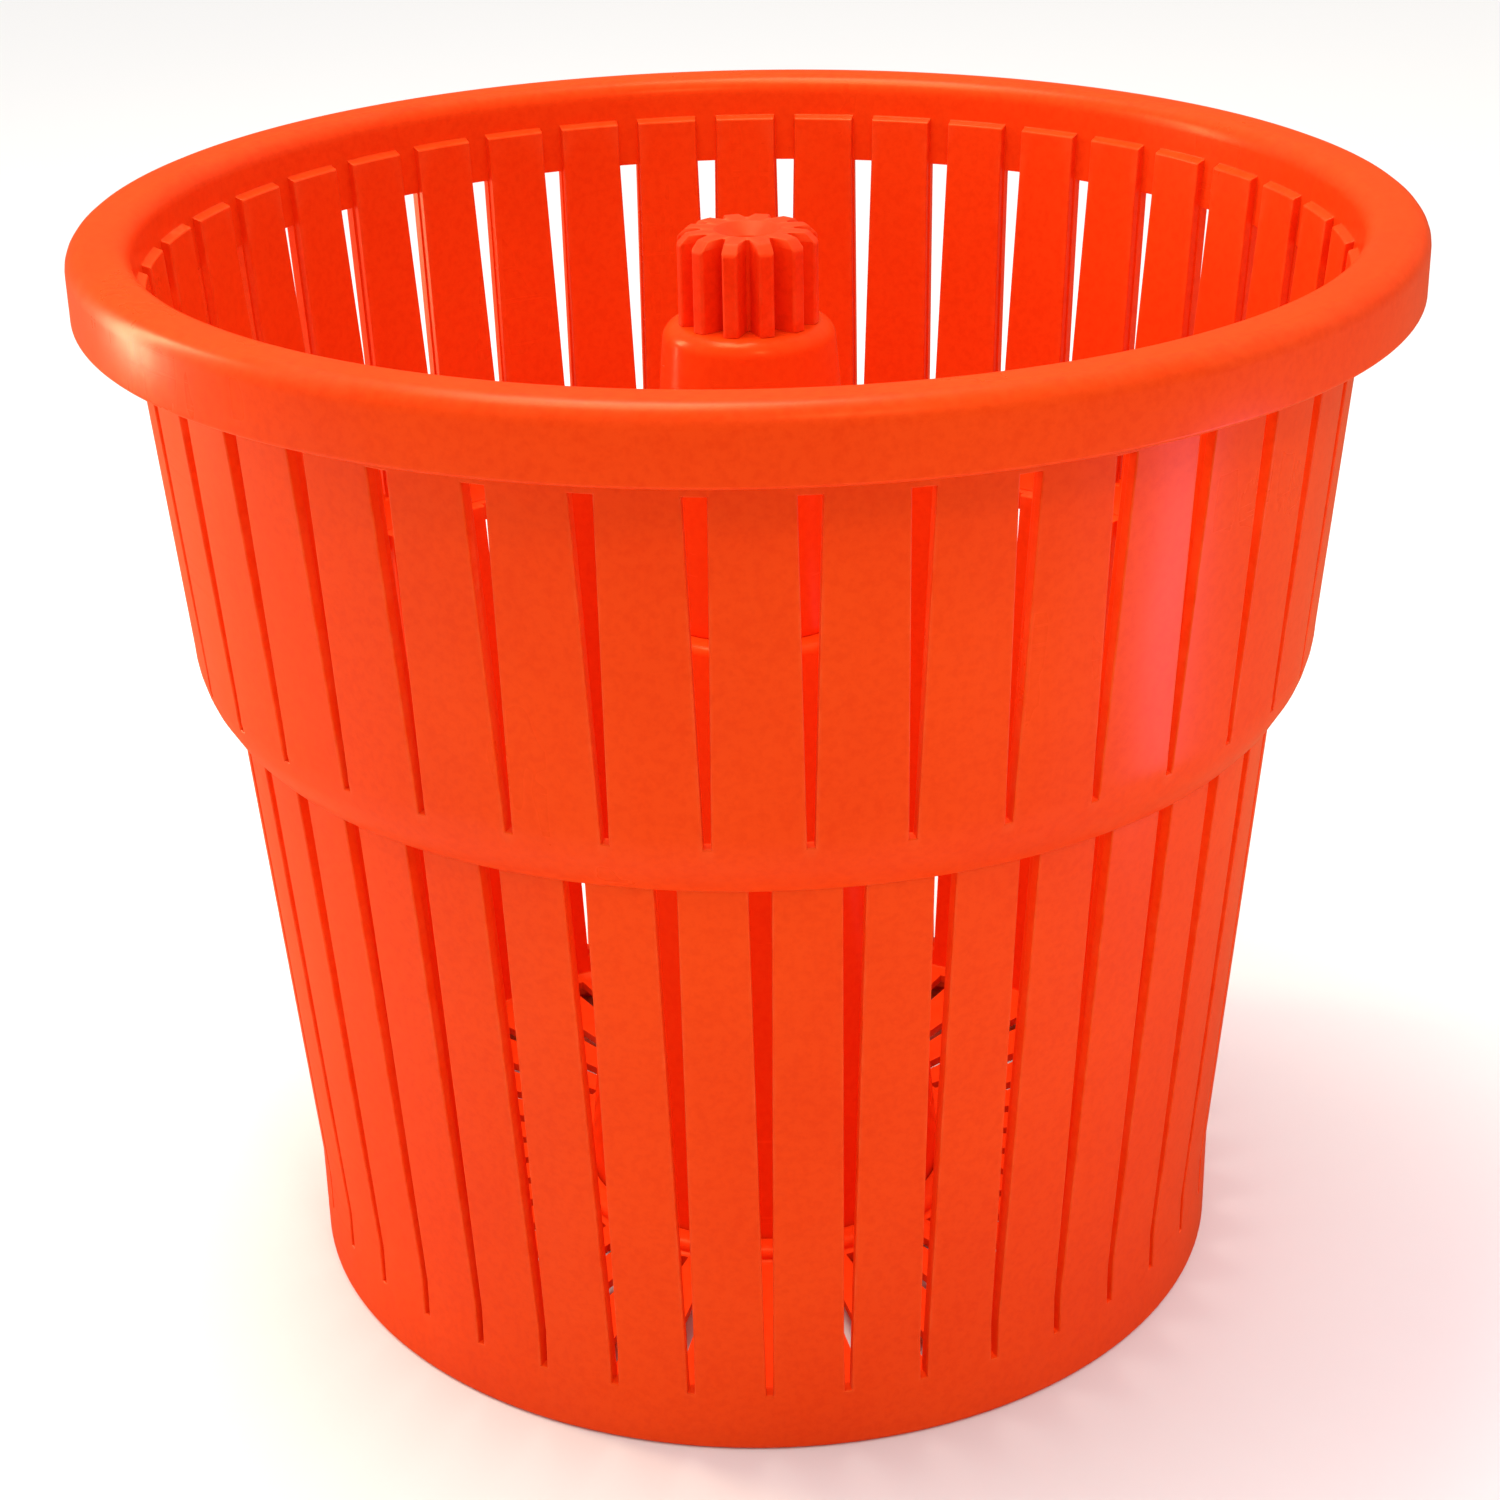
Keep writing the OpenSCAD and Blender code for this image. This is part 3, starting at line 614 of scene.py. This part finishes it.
def metal_group():
    """Machined metal: fine rings left by turning, small pits, and duller, darker patches."""
    tree, given, out = new_group(
        "machined metal",
        [("Colour", "colour"), ("Dull", "colour"), ("Gloss", "value"), ("Rings", "value")],
        [("Colour", "colour"), ("Roughness", "value"), ("Height", "value")])
    place = tree.nodes.new("ShaderNodeTexCoord").outputs["Object"]
    apart = tree.nodes.new("ShaderNodeSeparateXYZ")
    tree.links.new(place, apart.inputs[0])
    squares = [maths(tree, "MULTIPLY", apart.outputs[k], apart.outputs[k]) for k in (0, 1)]
    radius = maths(tree, "SQRT", maths(tree, "ADD", *squares))
    along = maths(tree, "ADD", radius, apart.outputs[2])
    line = tree.nodes.new("ShaderNodeCombineXYZ")
    tree.links.new(along, line.inputs[0])
    rings = noise(tree, line.outputs[0], 2600, 2, 0.7)
    patches = ramp(tree, noise(tree, place, 130, 3), 0.4, 0.68)
    pits = ramp(tree, noise(tree, place, 1700, 2), 0.62, 0.75)
    hue = blend_colours(tree, patches, given.outputs["Colour"], given.outputs["Dull"])
    tree.links.new(hue, out.inputs["Colour"])
    rough = maths(tree, "ADD", given.outputs["Gloss"], maths(tree, "MULTIPLY", patches, 0.12))
    tree.links.new(rough, out.inputs["Roughness"])
    turned = maths(tree, "MULTIPLY", rings, given.outputs["Rings"])
    tree.links.new(maths(tree, "SUBTRACT", turned, maths(tree, "MULTIPLY", pits, 0.4)),
                   out.inputs["Height"])
    return tree


def shaded(name, group, colours, values, bump, **constants):
    """A material: one group's colour, roughness and relief on a Principled BSDF, whose constants
    stand on its own sockets."""
    material = bpy.data.materials.new(name)
    material.use_nodes = True
    tree = material.node_tree
    shader = tree.nodes["Principled BSDF"]
    for label, value in constants.items():
        shader.inputs[label.replace("_", " ")].default_value = value
    effect = tree.nodes.new("ShaderNodeGroup")
    effect.node_tree = group
    for label, value in colours.items():
        effect.inputs[label].default_value = (*value, 1.0)
    for label, value in values.items():
        effect.inputs[label].default_value = value
    relief = tree.nodes.new("ShaderNodeBump")
    relief.inputs["Strength"].default_value = bump[0]
    relief.inputs["Distance"].default_value = bump[1]
    tree.links.new(effect.outputs["Colour"], shader.inputs["Base Color"])
    tree.links.new(effect.outputs["Roughness"], shader.inputs["Roughness"])
    tree.links.new(effect.outputs["Height"], relief.inputs["Height"])
    tree.links.new(relief.outputs["Normal"], shader.inputs["Normal"])
    return material


def once(name, make):
    """The node group of that name, made the first time it is asked for."""
    return bpy.data.node_groups.get(name) or make()


def orange(name, f, gloss, mottle=0.35, wear=0.6, base=None, bump=0.12):
    """The basket's orange polypropylene."""
    group = once("moulded plastic", moulding_group)
    return shaded(name, group, {"Colour": base or f.basket, "Deep": f.deep, "Worn": f.worn},
                  {"Gloss": gloss, "Mottle": mottle, "Wear": wear}, (bump, 0.0002),
                  Specular_Tint=(1.0, 0.32, 0.09, 1.0))


def acetal(name, f):
    """Natural acetal of the pilot bush and the thrust pad."""
    group = once("moulded plastic", moulding_group)
    dull = tuple(0.8 * c for c in f.acetal)
    return shaded(name, group, {"Colour": f.acetal, "Deep": dull, "Worn": dull},
                  {"Gloss": 0.38, "Mottle": 0.4, "Wear": 0.3}, (0.1, 0.0002))


def rubber(name):
    """Black nitrile rubber of the seal."""
    group = once("moulded plastic", moulding_group)
    return shaded(name, group, {"Colour": (0.02, 0.02, 0.022), "Deep": (0.012, 0.012, 0.013),
                                "Worn": (0.06, 0.06, 0.06)},
                  {"Gloss": 0.6, "Mottle": 0.5, "Wear": 0.5}, (0.25, 0.0002))


def metal(name, bright, dull, gloss, rings, bump=0.15):
    """A bare metal, brighter where it is clean and duller in patches."""
    group = once("machined metal", metal_group)
    return shaded(name, group, {"Colour": bright, "Dull": dull}, {"Gloss": gloss, "Rings": rings},
                  (bump, 0.0001), Metallic=1.0)


def place(piece, node, slot, material):
    """Puts a new piece in a CAD node's stead, on its body, with the material appended to its mesh;
    the slot argument is not used.
    """
    piece.data.materials.append(material)
    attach(piece, "basket")
    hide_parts(node)


def dress(node, material):
    """Gives a CAD node that stays a better material."""
    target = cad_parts[node]
    if not target.material_slots:
        target.data.materials.append(material)
    for slot in target.material_slots:
        slot.material = material


# ---------------------------------------------------------------- operators


class BuildStep:
    """What the build operators share."""

    bl_options = {"REGISTER", "UNDO"}

    def execute(self, context):
        scene = context.scene
        self.build(scene.basket_sizes, scene.basket_finish)
        return {"FINISHED"}


class BASKET_OT_upper_wall(BuildStep, bpy.types.Operator):
    """Build the upper wall with its rim"""

    bl_idname = "basket.upper_wall"
    bl_label = "Upper wall and rim"

    def build(self, s, f):
        place(build_upper(s), "upper_basket", "basket_plastic", orange("upper orange", f, 0.27))


class BASKET_OT_lower_wall(BuildStep, bpy.types.Operator):
    """Build the lower wall with its foot and ledge"""

    bl_idname = "basket.lower_wall"
    bl_label = "Lower wall and foot"

    def build(self, s, f):
        place(build_lower(s), "lower_basket", "basket_plastic", orange("lower orange", f, 0.29))


class BASKET_OT_floor(BuildStep, bpy.types.Operator):
    """Build the slotted floor"""

    bl_idname = "basket.floor"
    bl_label = "Floor grating"

    def build(self, s, f):
        place(build_floor(s), "floor_grid", "basket_plastic", orange("floor orange", f, 0.34))


class BASKET_OT_hub(BuildStep, bpy.types.Operator):
    """Build both hub mouldings"""

    bl_idname = "basket.hub"
    bl_label = "Hub"

    def build(self, s, f):
        gloss = orange("hub orange", f, 0.20, 0.25, 0.4)
        place(build_hub_base(s), "hub_base", "basket_plastic", gloss)
        place(build_hub_sleeve(s), "hub_sleeve", "basket_plastic", gloss)


class BASKET_OT_pinion(BuildStep, bpy.types.Operator):
    """Build the drive pinion"""

    bl_idname = "basket.pinion"
    bl_label = "Drive pinion"

    def build(self, s, f):
        matte = orange("pinion orange", f, 0.46, 0.5, 0.9, f.pinion, 0.3)
        place(build_pinion(s), "drive_pinion", "pinion_plastic", matte)


class BASKET_OT_hardware(BuildStep, bpy.types.Operator):
    """Finish the bearing, its housing, the spindle socket and the small parts"""

    bl_idname = "basket.hardware"
    bl_label = "Bearing and small parts"

    def build(self, s, f):
        zinc = metal("zinc plate", (0.62, 0.63, 0.64), (0.42, 0.42, 0.40), 0.32, 0.3)
        spring = metal("spring steel", (0.36, 0.36, 0.38), (0.20, 0.20, 0.21), 0.36, 0.4)
        chrome = metal("bearing steel", (0.70, 0.71, 0.73), (0.55, 0.56, 0.58), 0.12, 0.5, 0.06)
        pressed = metal("pressed shield", (0.45, 0.46, 0.48), (0.33, 0.34, 0.35), 0.28, 0.3)
        brass = metal("cage brass", (0.72, 0.50, 0.20), (0.50, 0.33, 0.12), 0.26, 0.5)
        cast = metal("cast aluminium", (0.60, 0.61, 0.62), (0.45, 0.46, 0.47), 0.42, 0.8, 0.25)
        turned = metal("turned stainless", (0.58, 0.58, 0.58), (0.44, 0.44, 0.45), 0.24, 1.0, 0.2)
        natural = acetal("natural acetal", f)
        finishes = {
            zinc: ["floor_screws", "hub_screws"],
            spring: ["pinion_clip", "housing_clip", "bearing_clip", "socket_clip"],
            chrome: ["bearing_outer_ring", "bearing_inner_ring", "bearing_balls"],
            pressed: ["upper_shield", "lower_shield"],
            brass: ["bearing_cage"],
            cast: ["bearing_housing"],
            turned: ["spindle_socket"],
            natural: ["pilot_bush", "thrust_pad"],
            rubber("nitrile rubber"): ["splash_seal"],
        }
        for material, nodes in finishes.items():
            for node in nodes:
                dress(node, material)


def soft_light(name, position, target, size, power, tint=(1, 1, 1)):
    """A rectangular area light that faces a target and isn't seen by the camera."""
    data = bpy.data.lights.new(name, "AREA")
    data.shape = "RECTANGLE"
    data.size, data.size_y = size
    data.energy = power
    data.color = tint
    light = bpy.data.objects.new(name, data)
    light.location = position
    aim = Vector(target) - Vector(position)
    light.rotation_euler = aim.to_track_quat("-Z", "Y").to_euler()
    light.visible_camera = False
    bpy.context.scene.collection.objects.link(light)
    return light


def bright_room():
    """A white room whose light is stronger from above than from the front and below, and whose
    reflection is dim and warm."""
    world = bpy.data.worlds.new("bright room")
    world.use_nodes = True
    tree = world.node_tree
    rays = tree.nodes.new("ShaderNodeLightPath").outputs
    up_and_back = 0, 0.35, 0.94
    facing = tree.nodes.new("ShaderNodeVectorMath")
    facing.operation = "DOT_PRODUCT"
    facing.inputs[1].default_value = up_and_back
    tree.links.new(tree.nodes.new("ShaderNodeTexCoord").outputs["Generated"], facing.inputs[0])
    strength = ramp(tree, facing.outputs["Value"], -0.1, 0.95, 0.38, 1.25)
    plain, white = constant(tree, (1, 1, 1)), constant(tree, (1.6, 1.6, 1.6))
    warm = constant(tree, (0.42, 0.16, 0.06))
    lit = blend_colours(tree, rays["Is Glossy Ray"], plain, warm)
    tree.links.new(blend_colours(tree, rays["Is Camera Ray"], lit, white),
                   tree.nodes["Background"].inputs["Color"])
    tree.links.new(strength, tree.nodes["Background"].inputs["Strength"])
    return world


class BASKET_OT_stage(BuildStep, bpy.types.Operator):
    """Set the pale floor, the soft light and the camera"""

    bl_idname = "basket.stage"
    bl_label = "Stage"

    def build(self, s, f):
        self.make_floor(f)
        self.make_light(s)
        self.make_camera()

    def make_floor(self, f):
        """A square of pale card, far wider than the basket, whose reflection is warm and dim."""
        half = 4.0
        corners = [(-half, -half, 0), (half, -half, 0), (half, half, 0), (-half, half, 0)]
        mesh = bpy.data.meshes.new("stage_floor")
        mesh.from_pydata(corners, [], [(0, 1, 2, 3)])
        floor = bpy.data.objects.new("stage_floor", mesh)
        bpy.context.scene.collection.objects.link(floor)
        material = bpy.data.materials.new("pale card")
        material.use_nodes = True
        tree = material.node_tree
        shader = tree.nodes["Principled BSDF"]
        card, reflected = constant(tree, f.floor), constant(tree, (0.42, 0.16, 0.075))
        glossy = tree.nodes.new("ShaderNodeLightPath").outputs["Is Glossy Ray"]
        tree.links.new(blend_colours(tree, glossy, card, reflected), shader.inputs["Base Color"])
        shader.inputs["Roughness"].default_value = 0.9
        shader.inputs["Specular IOR Level"].default_value = 0.1
        mesh.materials.append(material)

    def make_light(self, s):
        """The bright room, a broad lamp overhead, a small one in front, a tall one at the left and
        a tinted panel at the right whose reflection lies on the wall."""
        scene = bpy.context.scene
        scene.view_settings.view_transform = "Standard"
        scene.world = bright_room()
        middle = (0, 0, s.height / 2)
        soft_light("overhead", (-0.25, 0.1, 1.6), middle, (0.9, 0.6), 16, (1, 0.95, 0.86))
        soft_light("front_lamp", (0.35, -1.2, 1.3), middle, (0.25, 0.25), 3, (1, 0.9, 0.75))
        soft_light("left_lamp", (-1.0, 0.35, 0.45), middle, (0.16, 0.9), 7, (1, 0.82, 0.52))
        soft_light("right_panel", (0.42, -0.15, 0.10), (0.11, -0.14, 0.25), (0.07, 0.14), 0.16,
                   (1, 0.45, 0.95))

    def make_camera(self):
        """The camera looks down at the basket from the front, a little rolled."""
        pitch, yaw, roll = math.radians(24.61), math.radians(-0.16), math.radians(-1.19)
        ahead = Vector((math.sin(yaw) * math.cos(pitch), math.cos(yaw) * math.cos(pitch),
                        -math.sin(pitch)))
        side = ahead.cross(Vector((0, 0, 1))).normalized()
        up = side.cross(ahead)
        right = side * math.cos(roll) + up * math.sin(roll)
        over = up * math.cos(roll) - side * math.sin(roll)
        data = bpy.data.cameras.new("camera")
        data.lens = 68.68
        data.sensor_width = 36
        camera = bpy.data.objects.new("camera", data)
        turn = Matrix((right, over, -ahead)).transposed().to_4x4()
        camera.matrix_world = Matrix.Translation((0, -0.8024, 0.5222)) @ turn
        bpy.context.scene.collection.objects.link(camera)
        bpy.context.scene.camera = camera


STEPS = (BASKET_OT_upper_wall, BASKET_OT_lower_wall, BASKET_OT_floor, BASKET_OT_hub,
         BASKET_OT_pinion, BASKET_OT_hardware, BASKET_OT_stage)


class BASKET_PT_build(bpy.types.Panel):
    """Lists the build steps"""

    bl_idname = "BASKET_PT_build"
    bl_label = "Spinner basket"
    bl_space_type = "VIEW_3D"
    bl_region_type = "UI"
    bl_category = "Spinner basket"

    def draw(self, context):
        for step in STEPS:
            self.layout.operator(step.bl_idname)


CLASSES = (BasketSizes, BasketFinish, *STEPS, BASKET_PT_build)


def register():
    for cls in CLASSES:
        bpy.utils.register_class(cls)
    bpy.types.Scene.basket_sizes = PointerProperty(type=BasketSizes)
    bpy.types.Scene.basket_finish = PointerProperty(type=BasketFinish)


def unregister():
    del bpy.types.Scene.basket_finish
    del bpy.types.Scene.basket_sizes
    for cls in reversed(CLASSES):
        bpy.utils.unregister_class(cls)


def main():
    register()
    for step in STEPS:
        group, name = step.bl_idname.split(".")
        getattr(getattr(bpy.ops, group), name)()


if __name__ == "__main__":
    main()
